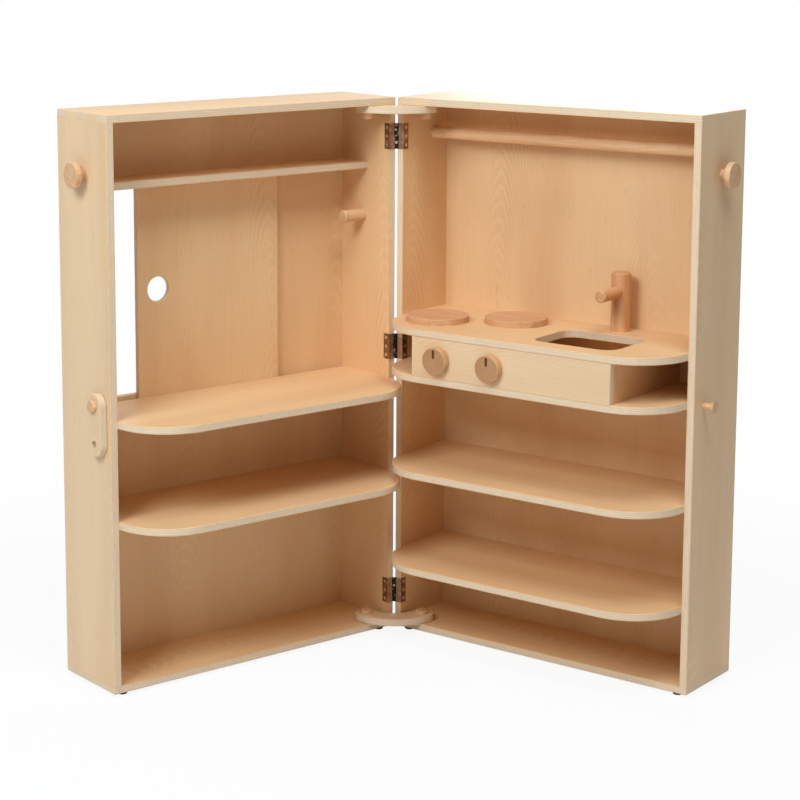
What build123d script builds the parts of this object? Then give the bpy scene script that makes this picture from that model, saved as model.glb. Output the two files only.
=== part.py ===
from build123d import *
from math import cos, radians, sin
import os

# A folding wooden play kitchen. Two shallow plywood cases are hinged along one upright edge and stand
# open at an angle. The right case holds the worktop with hob and sink, the left one holds shelves and a
# window with a sliding panel. All sizes are in millimetres.
#
# Each case is drawn in its own coordinates: u runs along the front from the hinged side, v runs from the
# front edges of the side panels to the back, and z runs up from the underside of the bottom panel.

# Case shells, the same for both cases
PLY = 12.0
CASE_W = 552.5
CASE_D = 142.5
CASE_H = 895.0
BACK_INSET = 4.5
EDGE_R = 1.5
FINGERS = 5
FOOT_D = 15.0
FOOT_H = 5.0
FOOT_FROM_SIDE = 21.5
FOOT_FROM_FRONT = 12.5
FOOT_CHAMFER = 1.0

# Fits and gaps
GLUE_FIT = 0.05
RUN_FIT = 0.05
SWING_GAP = 0.3

# The fold: the hinge axis lies outside the hinged side panel and in front of its front edge
OPEN_ANGLE = 105.0
AXIS_OUT = 0.9
AXIS_FRONT = 1.3

# Butt hinges, bent round the front edge of the hinged side panels
LOW_HINGE_UP = 62.7
HIGH_HINGE_DOWN = 63.7
HINGE_OVER_SHELF = 0.5
HINGE_L = 42.0
HINGE_KNUCKLES = 5
KNUCKLE_GAP = 0.2
LEAF_T = 1.0
LEAF_W = 12.5
BARREL_R = 1.9
PIN_R = 1.1
SCREW_SPACING = 14.5
SCREW_HEAD_R = 3.0
SCREW_R = 1.4
SCREW_L = 9.0
SCREW_SLOT_W = 0.8
SCREW_SLOT_L = 3.9
SCREW_SLOT_DEPTH = 0.5

# Shelves reach out past the front, with quarter-round corners as deep as they reach out
SHELF_REACH = 92.0
SHELF_SIDE_GAP = 1.0
WORKTOP_TOP = 536.0
CONTROL_SHELF_TOP = 460.5
RIGHT_MIDDLE_TOP = 300.0
RIGHT_LOWER_TOP = 140.0
WINDOW_SHELF_TOP = 430.0
LEFT_LOWER_TOP = 272.5

# Worktop fittings
HOB_R = 51.3
HOB_T = 10.4
HOB_PLACES = {"hob_disc_front": (88.7, -8.2), "hob_disc_back": (201.5, 51.7)}
SINK_U = 368.0
SINK_V = 1.5
SINK_W = 146.0
SINK_D = 115.0
SINK_CORNER_R = 23.0
POST_D = 31.0
POST_H = 94.0
POST_V = 96.0
POST_TENON_D = 15.0
POST_TENON_L = 9.0
POST_CHAMFER = 2.0
SPOUT_D = 20.0
SPOUT_UP = 63.5
SPOUT_TIP_V = 30.0
SPOUT_SOCKET = 20.0
SPOUT_CHAMFER = 1.5

# Control box below the worktop
BOARD_START = 96.0
CUBBY_W = 81.0
KNOB_PLACES = {"left_control": 146.9, "right_control": 246.6}
KNOB_UP = 30.5
KNOB_D = 44.0
KNOB_T = 13.0
KNOB_EDGE_R = 2.5
KNOB_MARK_W = 5.0
KNOB_MARK_L = 14.0
KNOB_MARK_IN = 4.0
KNOB_MARK_DEPTH = 2.5
SPINDLE_D = 10.0
SPINDLE_IN_KNOB = 8.0
COLLAR_D = 22.0
COLLAR_T = 8.0

# Rod under the top of the right case, at a depth below it
ROD_D = 20.0
ROD_V = 90.0
ROD_DOWN = 63.0
ROD_SOCKET = 6.0

# Turned knobs on the outer sides, at a depth below the top
OUTER_KNOB_V = 69.5
OUTER_KNOB_DOWN = 94.0
OUTER_KNOB_D = 40.0
OUTER_KNOB_T = 10.0
OUTER_STEM_D = 17.0
OUTER_STEM_L = 12.0
TENON_D = 10.0
TENON_L = 9.0

# Upper shelf, peg, window and sliding panel of the left case
UPPER_SHELF_DOWN = 109.5
UPPER_SHELF_FRONT = 58.0
PEG_D = 20.0
PEG_V = 70.0
PEG_UNDER_SHELF = 78.0
PEG_REACH = 44.0
PEG_CHAMFER = 1.5
WINDOW_W = 240.0
WINDOW_END = 16.5
WINDOW_LIP = 5.0
WINDOW_CORNER_R = 3.0
SLIDER_T = 9.0
SLIDER_W = 272.0
SLIDER_START = 155.0
SLIDER_GAP = 0.5
GROOVE_DEPTH = 5.5
FINGER_HOLE_D = 40.0
FINGER_HOLE_IN = 38.5
FINGER_HOLE_UP = 172.0

# Latch: a plate on the left outer side, whose hole drops over a peg on the right outer side
LATCH_V = 28.5
LATCH_Z = 452.0
LATCH_W = 38.0
LATCH_T = 12.0
LATCH_HOLE_D = 12.0
LATCH_PEG_D = 10.5
LOCKING_FLARE_D = 19.0
PIVOT_HEAD_D = 19.0
PIVOT_HEAD_T = 6.2
LOCKING_FLARE_T = 8.5

# Crescent stays, drawn from the hinge axis: forward between the two fronts, and sideways
STAY_PEG_FORWARD = 8.0
STAY_PEG_SIDE = 47.0
STAY_PEG_D = 20.0
STAY_END_R = 19.0
STAY_FRONT = 46.0
STAY_HOLLOW = 9.5
LOW_PEG_PROUD = 5.5
HIGH_PEG_PROUD = 10.5
STAY_PEG_IN = 8.0
STAY_PEG_CHAMFER = 1.0

# Worked out from the sizes above
INNER_D = CASE_D - BACK_INSET - PLY
INNER_W = (PLY, CASE_W - PLY)
CLOSED_GAP = 2 * AXIS_FRONT
LEFT_TURN = 180 - OPEN_ANGLE
WORKTOP_UNDER = WORKTOP_TOP - PLY
ROD_Z = CASE_H - ROD_DOWN
OUTER_KNOB_Z = CASE_H - OUTER_KNOB_DOWN
UPPER_SHELF_TOP = CASE_H - UPPER_SHELF_DOWN
UPPER_SHELF_UNDER = UPPER_SHELF_TOP - PLY
PEG_Z = UPPER_SHELF_UNDER - PEG_UNDER_SHELF
DIVIDER_FACE = CASE_W - PLY - CUBBY_W
BOARD_FACE = -SHELF_REACH
KNOB_Z = CONTROL_SHELF_TOP + KNOB_UP
LATCH_DROP = 2 * LATCH_V + CLOSED_GAP
LATCH_FACE = CASE_W + SWING_GAP + LATCH_T
WINDOW_U = (INNER_W[1] - WINDOW_END - WINDOW_W, INNER_W[1] - WINDOW_END)
WINDOW_Z = (WINDOW_SHELF_TOP + WINDOW_LIP, UPPER_SHELF_UNDER - WINDOW_LIP)
GROOVE_V = (INNER_D - SLIDER_T - 2 * SLIDER_GAP, INNER_D)
MIDDLE_HINGE_Z = CONTROL_SHELF_TOP + HINGE_OVER_SHELF + HINGE_L / 2
HINGE_HEIGHTS = (LOW_HINGE_UP, MIDDLE_HINGE_Z, CASE_H - HIGH_HINGE_DOWN)
SCREW_V = LEAF_W / 2


def block(u, v, z):
    """Block between the limits along u, v and z."""
    middle = Pos(sum(u) / 2, sum(v) / 2, sum(z) / 2)
    return middle * Box(u[1] - u[0], v[1] - v[0], z[1] - z[0])


def bar_u(radius, u, v, z):
    """Round bar along u between two limits."""
    return Pos(sum(u) / 2, v, z) * Rot(0, 90, 0) * Cylinder(radius, u[1] - u[0])


def bar_v(radius, u, v, z):
    """Round bar along v between two limits."""
    return Pos(u, sum(v) / 2, z) * Rot(90, 0, 0) * Cylinder(radius, v[1] - v[0])


def bar_z(radius, u, v, z):
    """Round bar along z between two limits."""
    return Pos(u, v, sum(z) / 2) * Cylinder(radius, z[1] - z[0])


def cone_u(start_radius, end_radius, u, v, z):
    """Cone along u, with its radius at each limit."""
    return Pos(sum(u) / 2, v, z) * Rot(0, 90, 0) * Cone(start_radius, end_radius, u[1] - u[0])


def edges_at(part, axis, place):
    """Edges whose middle lies at one place along an axis."""
    reach = 0.01
    return part.edges().filter_by_position(axis, place - reach, place + reach)


def sanded(panel):
    """The panel with the outer edges of its case rounded over, as sanded after gluing."""
    case = block((0, CASE_W), (0, CASE_D), (0, CASE_H))
    return panel & fillet(case.edges(), EDGE_R)


def finger(index, u, z):
    """One finger's share of the depth, counted from the front."""
    pitch = CASE_D / FINGERS
    return block(u, (index * pitch, (index + 1) * pitch), z)


def stay_hole():
    """Place of a stay's peg in either case, as u and v."""
    half = radians(OPEN_ANGLE / 2)
    u = STAY_PEG_FORWARD * cos(half) + STAY_PEG_SIDE * sin(half) - AXIS_OUT
    v = STAY_PEG_SIDE * cos(half) - STAY_PEG_FORWARD * sin(half) - AXIS_FRONT
    return u, v


def bottom_panel():
    """Bottom of a case, under its side panels, with the blind hole for the stay's peg."""
    panel = sanded(block((0, CASE_W), (0, CASE_D), (0, PLY)))
    hole = bar_z(STAY_PEG_D / 2 + RUN_FIT, *stay_hole(), (PLY - STAY_PEG_IN, PLY))
    return panel - hole


def top_panel():
    """Top of a case: the odd fingers of its corners belong to it, the even ones to the sides."""
    z = (CASE_H - PLY, CASE_H)
    panel = block((0, CASE_W), (0, CASE_D), z)
    for index in range(1, FINGERS, 2):
        panel -= finger(index, (0, PLY), z)
        panel -= finger(index, (CASE_W - PLY, CASE_W), z)
    hole = bar_z(STAY_PEG_D / 2 + RUN_FIT, *stay_hole(), (z[0], z[0] + STAY_PEG_IN))
    return sanded(panel) - hole


def side_panel(u):
    """Side of a case, standing on the bottom and finger-jointed to the top."""
    panel = block(u, (0, CASE_D), (PLY, CASE_H))
    for index in range(0, FINGERS, 2):
        panel -= finger(index, u, (CASE_H - PLY, CASE_H))
    return sanded(panel)


def hinge_side():
    """Hinged side of a case, with the pilot holes of its hinge screws."""
    panel = side_panel((0, PLY))
    for height in screw_heights():
        panel -= bar_u(SCREW_R + GLUE_FIT, (PLY - SCREW_L - GLUE_FIT, PLY), SCREW_V, height)
    return panel


def outer_side():
    """Outer side of a case, with the hole for its turned knob."""
    panel = side_panel((CASE_W - PLY, CASE_W))
    return panel - bar_u(TENON_D / 2 + GLUE_FIT, (CASE_W - TENON_L, CASE_W), OUTER_KNOB_V, OUTER_KNOB_Z)


def back_panel():
    """Back of a case, between its sides, bottom and top."""
    return block(INNER_W, (INNER_D, INNER_D + PLY), (PLY, CASE_H - PLY))


def shelf(top):
    """Shelf between the sides, reaching out past the front with rounded corners."""
    z = (top - PLY, top)
    body = block(INNER_W, (0, INNER_D), z)
    nose = block((INNER_W[0] + SHELF_SIDE_GAP, INNER_W[1] - SHELF_SIDE_GAP), (BOARD_FACE, INNER_D / 2), z)
    corners = nose.edges().filter_by(Axis.Z).sort_by(Axis.Y)[:2]
    nose = fillet(corners, SHELF_REACH)
    back_edges = edges_at(nose, Axis.Y, INNER_D / 2)
    rim = nose.edges() - nose.edges().filter_by(Axis.Z) - back_edges
    return body + fillet(rim, EDGE_R)


def worktop():
    """Top shelf of the right case, with the sink cut-out and the socket of the tap."""
    top = shelf(WORKTOP_TOP)
    u = (SINK_U - SINK_W / 2, SINK_U + SINK_W / 2)
    v = (SINK_V - SINK_D / 2, SINK_V + SINK_D / 2)
    sink = block(u, v, (WORKTOP_UNDER - PLY, WORKTOP_TOP + PLY))
    sink = fillet(sink.edges().filter_by(Axis.Z), SINK_CORNER_R)
    top -= sink
    rim = edges_at(top, Axis.Z, WORKTOP_TOP).filter_by_position(Axis.X, u[0] - EDGE_R, u[1] + EDGE_R)
    rim = rim.filter_by_position(Axis.Y, v[0] - EDGE_R, v[1] + EDGE_R)
    top = fillet(rim, EDGE_R)
    socket = (WORKTOP_TOP - POST_TENON_L, WORKTOP_TOP)
    return top - bar_z(POST_TENON_D / 2 + GLUE_FIT, SINK_U, POST_V, socket)


def hob_disc(u, v):
    """Round hob plate glued on the worktop."""
    disc = bar_z(HOB_R, u, v, (WORKTOP_TOP, WORKTOP_TOP + HOB_T))
    return fillet(edges_at(disc, Axis.Z, WORKTOP_TOP + HOB_T), EDGE_R)


def tap_post():
    """Upright dowel of the tap, with its tenon and the socket of the spout."""
    top = WORKTOP_TOP + POST_H
    post = bar_z(POST_D / 2, SINK_U, POST_V, (WORKTOP_TOP, top))
    post = chamfer(edges_at(post, Axis.Z, top), POST_CHAMFER)
    post += bar_z(POST_TENON_D / 2, SINK_U, POST_V, (WORKTOP_TOP - POST_TENON_L, WORKTOP_TOP))
    front = POST_V - POST_D / 2
    socket = (front - POST_D, front + SPOUT_SOCKET)
    return post - bar_v(SPOUT_D / 2 + GLUE_FIT, SINK_U, socket, WORKTOP_TOP + SPOUT_UP)


def tap_spout():
    """Level dowel of the tap, from inside the post out over the sink."""
    back = POST_V - POST_D / 2 + SPOUT_SOCKET
    spout = bar_v(SPOUT_D / 2, SINK_U, (SPOUT_TIP_V, back), WORKTOP_TOP + SPOUT_UP)
    return chamfer(edges_at(spout, Axis.Y, SPOUT_TIP_V), SPOUT_CHAMFER)


def control_board():
    """Front board of the control box, with the bearings of the two knob spindles."""
    v = (BOARD_FACE, BOARD_FACE + PLY)
    board = block((BOARD_START, DIVIDER_FACE), v, (CONTROL_SHELF_TOP, WORKTOP_UNDER))
    ends = board.edges().filter_by(Axis.Z).sort_by(Axis.Y)[:2]
    board = fillet(ends, EDGE_R)
    for u in KNOB_PLACES.values():
        board -= bar_v(SPINDLE_D / 2 + RUN_FIT, u, v, KNOB_Z)
    return board


def cubby_divider():
    """Upright board between the control box and the open cubby."""
    v = (BOARD_FACE + PLY, INNER_D)
    return block((DIVIDER_FACE - PLY, DIVIDER_FACE), v, (CONTROL_SHELF_TOP, WORKTOP_UNDER))


def control_knob(u):
    """Turned disc of a control, with a pointer slot in its face."""
    back = BOARD_FACE - SWING_GAP
    front = back - KNOB_T
    knob = bar_v(KNOB_D / 2, u, (front, back), KNOB_Z)
    knob = fillet(edges_at(knob, Axis.Y, front), KNOB_EDGE_R)
    low = KNOB_Z + KNOB_MARK_IN + KNOB_MARK_W / 2
    high = KNOB_Z + KNOB_MARK_IN + KNOB_MARK_L - KNOB_MARK_W / 2
    depth = (front, front + KNOB_MARK_DEPTH)
    slot = block((u - KNOB_MARK_W / 2, u + KNOB_MARK_W / 2), depth, (low, high))
    for end in (low, high):
        slot += bar_v(KNOB_MARK_W / 2, u, depth, end)
    socket = (back - SPINDLE_IN_KNOB, back)
    return knob - slot - bar_v(SPINDLE_D / 2 + GLUE_FIT, u, socket, KNOB_Z)


def control_spindle(u):
    """Dowel from the knob through the board to the collar behind it."""
    front = BOARD_FACE - SWING_GAP - SPINDLE_IN_KNOB
    back = BOARD_FACE + PLY + SWING_GAP + COLLAR_T
    return bar_v(SPINDLE_D / 2, u, (front, back), KNOB_Z)


def control_collar(u):
    """Ring glued on the spindle behind the board, which keeps the knob in."""
    front = BOARD_FACE + PLY + SWING_GAP
    v = (front, front + COLLAR_T)
    return bar_v(COLLAR_D / 2, u, v, KNOB_Z) - bar_v(SPINDLE_D / 2 + GLUE_FIT, u, v, KNOB_Z)


def hanging_rod():
    """Rod across the right case, its ends let into the side panels."""
    return bar_u(ROD_D / 2, (INNER_W[0] - ROD_SOCKET, INNER_W[1] + ROD_SOCKET), ROD_V, ROD_Z)


def rod_sockets():
    """Blind holes for the ends of the rod."""
    return bar_u(ROD_D / 2 + GLUE_FIT, (INNER_W[0] - ROD_SOCKET, INNER_W[1] + ROD_SOCKET), ROD_V, ROD_Z)


def outer_knob():
    """Turned knob on an outer side: a tenon in the panel, a stem and a disc."""
    stem_end = CASE_W + OUTER_STEM_L
    face = stem_end + OUTER_KNOB_T
    disc = bar_u(OUTER_KNOB_D / 2, (stem_end, face), OUTER_KNOB_V, OUTER_KNOB_Z)
    disc = fillet(edges_at(disc, Axis.X, face) + edges_at(disc, Axis.X, stem_end), EDGE_R)
    stem = bar_u(OUTER_STEM_D / 2, (CASE_W, stem_end), OUTER_KNOB_V, OUTER_KNOB_Z)
    tenon = bar_u(TENON_D / 2, (CASE_W - TENON_L, CASE_W), OUTER_KNOB_V, OUTER_KNOB_Z)
    return disc + stem + tenon


def feet():
    """Round glides under the corners of a case."""
    glides = []
    for u in (FOOT_FROM_SIDE, CASE_W - FOOT_FROM_SIDE):
        for v in (FOOT_FROM_FRONT, CASE_D - FOOT_FROM_FRONT):
            glide = bar_z(FOOT_D / 2, u, v, (-FOOT_H, 0))
            glides.append(chamfer(edges_at(glide, Axis.Z, -FOOT_H), FOOT_CHAMFER))
    return glides


def screw_heights():
    """Heights of all hinge screws of one case."""
    return [height + step * SCREW_SPACING for height in HINGE_HEIGHTS for step in (-1, 0, 1)]


def hinge_leaf(height, first_knuckle):
    """Leaf of one hinge: a flange on the inner face, an arm round the front edge and its knuckles."""
    z = (height - HINGE_L / 2, height + HINGE_L / 2)
    clear_of_barrel = BARREL_R + KNUCKLE_GAP - AXIS_OUT
    leaf = block((PLY, PLY + LEAF_T), (-LEAF_T, LEAF_W), z)
    leaf += block((clear_of_barrel, PLY + LEAF_T), (-LEAF_T, 0), z)
    pitch = HINGE_L / HINGE_KNUCKLES
    for index in range(first_knuckle, HINGE_KNUCKLES, 2):
        share = (z[0] + index * pitch + KNUCKLE_GAP / 2, z[0] + (index + 1) * pitch - KNUCKLE_GAP / 2)
        leaf += block((-AXIS_OUT, clear_of_barrel), (-LEAF_T, 0), share)
        leaf += bar_z(BARREL_R, -AXIS_OUT, -AXIS_FRONT, share)
    leaf -= bar_z(PIN_R + RUN_FIT, -AXIS_OUT, -AXIS_FRONT, z)
    for step in (-1, 0, 1):
        at = height + step * SCREW_SPACING
        leaf -= cone_u(SCREW_R + GLUE_FIT, SCREW_HEAD_R + GLUE_FIT, (PLY, PLY + LEAF_T), SCREW_V, at)
    return leaf


def hinge_pin(height):
    """Pin through the knuckles of one hinge."""
    return bar_z(PIN_R, -AXIS_OUT, -AXIS_FRONT, (height - HINGE_L / 2, height + HINGE_L / 2))


def hinge_screw(height):
    """Countersunk screw with a cross recess, from inside the case."""
    face = PLY + LEAF_T
    screw = cone_u(SCREW_R, SCREW_HEAD_R, (PLY, face), SCREW_V, height)
    screw += bar_u(SCREW_R, (PLY - SCREW_L, PLY), SCREW_V, height)
    depth = (face - SCREW_SLOT_DEPTH, face)
    long = SCREW_SLOT_L / 2
    half = SCREW_SLOT_W / 2
    screw -= block(depth, (SCREW_V - long, SCREW_V + long), (height - half, height + half))
    screw -= block(depth, (SCREW_V - half, SCREW_V + half), (height - long, height + long))
    return screw


def latch_bar(radius, drop=0.0):
    """Round bar through the latch plate, on its pivot or a given distance below it."""
    return bar_u(radius, (CASE_W + SWING_GAP, LATCH_FACE), LATCH_V, LATCH_Z - drop)


def latch_plate():
    """Latch plate hanging on its pivot, with the hole for the locking peg at its lower end."""
    v = (LATCH_V - LATCH_W / 2, LATCH_V + LATCH_W / 2)
    plate = block((CASE_W + SWING_GAP, LATCH_FACE), v, (LATCH_Z - LATCH_DROP, LATCH_Z))
    plate += latch_bar(LATCH_W / 2)
    plate += latch_bar(LATCH_W / 2, LATCH_DROP)
    rims = edges_at(plate, Axis.X, CASE_W + SWING_GAP) + edges_at(plate, Axis.X, LATCH_FACE)
    plate = fillet(rims, EDGE_R)
    return plate - latch_bar(LATCH_PEG_D / 2 + RUN_FIT) - latch_bar(LATCH_HOLE_D / 2, LATCH_DROP)


def latch_peg():
    """Shank of a latch peg, through an outer side and past the latch plate, and where it ends."""
    end = LATCH_FACE + SWING_GAP
    return bar_u(LATCH_PEG_D / 2, (CASE_W - PLY, end), LATCH_V, LATCH_Z), end


def pivot_peg():
    """Peg that the latch plate swings on, with a round head outside the plate."""
    shank, end = latch_peg()
    face = end + PIVOT_HEAD_T
    head = bar_u(PIVOT_HEAD_D / 2, (end, face), LATCH_V, LATCH_Z)
    return shank + fillet(edges_at(head, Axis.X, face), EDGE_R)


def locking_peg():
    """Peg that the latch plate drops over, flared outside the plate."""
    shank, end = latch_peg()
    flare = (end, end + LOCKING_FLARE_T)
    return shank + cone_u(LATCH_PEG_D / 2, LOCKING_FLARE_D / 2, flare, LATCH_V, LATCH_Z)


def latch_peg_hole(fit):
    """Hole in an outer side for its latch peg."""
    return bar_u(LATCH_PEG_D / 2 + fit, (CASE_W - PLY, CASE_W), LATCH_V, LATCH_Z)


def groove(z):
    """Groove for the sliding panel, along the back panel."""
    return block(INNER_W, GROOVE_V, z)


def upper_shelf():
    """Short shelf at the back of the left case, grooved underneath for the sliding panel."""
    plate = block(INNER_W, (UPPER_SHELF_FRONT, INNER_D), (UPPER_SHELF_UNDER, UPPER_SHELF_TOP))
    front = edges_at(plate, Axis.Y, UPPER_SHELF_FRONT).filter_by(Axis.X)
    plate = fillet(front, EDGE_R)
    return plate - groove((UPPER_SHELF_UNDER, UPPER_SHELF_UNDER + GROOVE_DEPTH))


def window_panel():
    """Back of the left case with its window."""
    window = block(WINDOW_U, (INNER_D - PLY, INNER_D + 2 * PLY), WINDOW_Z)
    return back_panel() - fillet(window.edges().filter_by(Axis.Y), WINDOW_CORNER_R)


def sliding_panel():
    """Panel that slides behind the shelves in front of the window, with its finger hole."""
    u = (SLIDER_START, SLIDER_START + SLIDER_W)
    v = (GROOVE_V[0] + SLIDER_GAP, GROOVE_V[1] - SLIDER_GAP)
    reach = GROOVE_DEPTH - SLIDER_GAP
    panel = block(u, v, (WINDOW_SHELF_TOP - reach, UPPER_SHELF_UNDER + reach))
    hole_z = WINDOW_SHELF_TOP + FINGER_HOLE_UP
    panel -= bar_v(FINGER_HOLE_D / 2, u[1] - FINGER_HOLE_IN, v, hole_z)
    rims = panel.edges().filter_by(GeomType.CIRCLE)
    return fillet(rims, EDGE_R)


def inner_peg():
    """Peg on the hinged side of the left case, with its tenon in the panel."""
    tip = PLY + PEG_REACH
    peg = bar_u(PEG_D / 2, (PLY, tip), PEG_V, PEG_Z)
    peg = chamfer(edges_at(peg, Axis.X, tip), PEG_CHAMFER)
    return peg + bar_u(TENON_D / 2, (PLY - TENON_L, PLY), PEG_V, PEG_Z)


def arc_back(reach):
    """How far behind the axis the centre of a circle lies that passes through both pegs' places
    and reaches forward by this much."""
    past_peg = reach - STAY_PEG_FORWARD
    return (STAY_PEG_SIDE**2 + STAY_PEG_FORWARD**2 - reach**2) / (2 * past_peg)


def crescent():
    """Outline of a stay: a front arc, round ends about both pegs and a hollow arc, all tangent."""
    peg = Vector(STAY_PEG_FORWARD, STAY_PEG_SIDE)
    front_centre = Vector(-arc_back(STAY_FRONT - STAY_END_R), 0)
    hollow_centre = Vector(-arc_back(STAY_HOLLOW + STAY_END_R), 0)
    outward = (peg - front_centre).normalized()
    inward = (hollow_centre - peg).normalized()
    front_end = peg + outward * STAY_END_R
    tip = peg + outward.rotate(Axis.Z, 90) * STAY_END_R
    hollow_end = peg + inward * STAY_END_R

    def other(point):
        return Vector(point.X, -point.Y)

    outline = [
        ThreePointArc(other(front_end), (STAY_FRONT, 0), front_end),
        ThreePointArc(front_end, tip, hollow_end),
        ThreePointArc(hollow_end, (STAY_HOLLOW, 0), other(hollow_end)),
        ThreePointArc(other(hollow_end), other(tip), other(front_end)),
    ]
    return make_face(outline)


def stay_plate(under):
    """Crescent plate of a stay, with the holes of its two pegs."""
    plate = Pos(0, 0, under) * extrude(crescent(), PLY)
    plate = fillet(edges_at(plate, Axis.Z, under) + edges_at(plate, Axis.Z, under + PLY), EDGE_R)
    for side in (-1, 1):
        hole = (under, under + PLY)
        plate -= bar_z(STAY_PEG_D / 2 + GLUE_FIT, STAY_PEG_FORWARD, side * STAY_PEG_SIDE, hole)
    return plate


def stay_peg(side, z):
    """Peg of a stay between two heights, chamfered at both ends."""
    peg = bar_z(STAY_PEG_D / 2, STAY_PEG_FORWARD, side * STAY_PEG_SIDE, z)
    return chamfer(edges_at(peg, Axis.Z, z[0]) + edges_at(peg, Axis.Z, z[1]), STAY_PEG_CHAMFER)


def stay_pieces():
    """Both stays: the right pegs turn in the right case, the left pegs end flush with their plates."""
    low_under = PLY + SWING_GAP
    low_top = low_under + PLY
    high_top = CASE_H - PLY - SWING_GAP
    high_under = high_top - PLY
    peg_foot = PLY - STAY_PEG_IN + SWING_GAP
    peg_head = CASE_H - PLY + STAY_PEG_IN - SWING_GAP
    return {
        "bottom_stay": [stay_plate(low_under)],
        "bottom_stay_pegs": [
            stay_peg(1, (peg_foot, low_top + LOW_PEG_PROUD)),
            stay_peg(-1, (low_under, low_top + LOW_PEG_PROUD)),
        ],
        "top_stay": [stay_plate(high_under)],
        "top_stay_pegs": [
            stay_peg(1, (high_under - HIGH_PEG_PROUD, peg_head)),
            stay_peg(-1, (high_under - HIGH_PEG_PROUD, high_top)),
        ],
    }


def right_pieces():
    """Every piece of the right case, in its own coordinates."""
    sockets = rod_sockets()
    pieces = {
        "right_bottom_panel": [bottom_panel()],
        "right_top_panel": [top_panel()],
        "right_hinge_side": [hinge_side() - sockets],
        "right_outer_side": [outer_side() - sockets - latch_peg_hole(RUN_FIT)],
        "right_back_panel": [back_panel()],
        "worktop": [worktop()],
        "control_shelf": [shelf(CONTROL_SHELF_TOP)],
        "right_middle_shelf": [shelf(RIGHT_MIDDLE_TOP)],
        "right_lower_shelf": [shelf(RIGHT_LOWER_TOP)],
        "control_board": [control_board()],
        "cubby_divider": [cubby_divider()],
        "tap_post": [tap_post()],
        "tap_spout": [tap_spout()],
        "hanging_rod": [hanging_rod()],
        "right_outer_knob": [outer_knob()],
        "right_hinge_leaves": [hinge_leaf(height, 0) for height in HINGE_HEIGHTS],
        "hinge_pins": [hinge_pin(height) for height in HINGE_HEIGHTS],
        "right_hinge_screws": [hinge_screw(height) for height in screw_heights()],
        "right_feet": feet(),
        "locking_peg": [locking_peg()],
    }
    for name, (u, v) in HOB_PLACES.items():
        pieces[name] = [hob_disc(u, v)]
    for name, u in KNOB_PLACES.items():
        pieces[name + "_knob"] = [control_knob(u)]
        pieces[name + "_spindle"] = [control_spindle(u)]
        pieces[name + "_collar"] = [control_collar(u)]
    return pieces


def left_pieces():
    """Every piece of the left case, in its own coordinates."""
    peg_socket = bar_u(TENON_D / 2 + GLUE_FIT, (PLY - TENON_L, PLY), PEG_V, PEG_Z)
    slider_shelf = shelf(WINDOW_SHELF_TOP) - groove((WINDOW_SHELF_TOP - GROOVE_DEPTH, WINDOW_SHELF_TOP))
    return {
        "left_bottom_panel": [bottom_panel()],
        "left_top_panel": [top_panel()],
        "left_hinge_side": [hinge_side() - peg_socket],
        "left_outer_side": [outer_side() - latch_peg_hole(GLUE_FIT)],
        "left_back_panel": [window_panel()],
        "upper_shelf": [upper_shelf()],
        "window_shelf": [slider_shelf],
        "left_lower_shelf": [shelf(LEFT_LOWER_TOP)],
        "inner_peg": [inner_peg()],
        "left_outer_knob": [outer_knob()],
        "latch_pivot_peg": [pivot_peg()],
        "left_hinge_leaves": [hinge_leaf(height, 1) for height in HINGE_HEIGHTS],
        "left_hinge_screws": [hinge_screw(height) for height in screw_heights()],
        "left_feet": feet(),
        "sliding_panel": [sliding_panel()],
        "latch_plate": [latch_plate()],
    }


def stand_right(piece):
    """A piece of the right case on the floor, with the hinge axis upright through x = 0, y = 0."""
    return Pos(AXIS_OUT, AXIS_FRONT, FOOT_H) * piece


def stand_left(piece):
    """A piece of the left case: the mirror image of a right one, turned to the open angle."""
    return Rot(0, 0, LEFT_TURN) * stand_right(piece).mirror(Plane.YZ)


def stand_stay(piece):
    """A piece of a stay, with its forward direction between the two fronts."""
    return Pos(0, 0, FOOT_H) * Rot(0, 0, -OPEN_ANGLE / 2) * piece


def assembly():
    """Every node with its solids, about the hinge axis."""
    nodes = {name: [stand_right(piece) for piece in pieces] for name, pieces in right_pieces().items()}
    nodes |= {name: [stand_left(piece) for piece in pieces] for name, pieces in left_pieces().items()}
    nodes |= {name: [stand_stay(piece) for piece in pieces] for name, pieces in stay_pieces().items()}
    return nodes


def footprint_middle(nodes):
    """Middle of the footprint of all nodes, as x and y."""
    box = Compound([piece for pieces in nodes.values() for piece in pieces]).bounding_box()
    return box.center().X, box.center().Y


NODES = assembly()
MIDDLE = footprint_middle(NODES)
os.makedirs("parts", exist_ok=True)
for node, solids in NODES.items():
    centred = [Pos(-MIDDLE[0], -MIDDLE[1], 0) * solid for solid in solids]
    export_step(Compound(label=node, children=centred), f"parts/{node}.step")
print(len(NODES), "nodes, hinge axis at", round(-MIDDLE[0], 3), round(-MIDDLE[1], 3))
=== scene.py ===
"""Looks of a folding wooden play kitchen: two plywood cases on hinges, with turned beech fittings.

Every plate of the two cases keeps its own solid and is finished as plywood, with a face veneer whose
fibres run along the plate and with the bare plies on its edges. Dowels, discs and turned knobs are
solid beech. Hinges and screws are aged brass, the glides are dark nylon.
"""

import logging
from dataclasses import dataclass, field
from enum import Enum
from math import atan2, cos, pi, radians, sin

import bmesh
import bpy
from mathutils import Matrix, Vector


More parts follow.
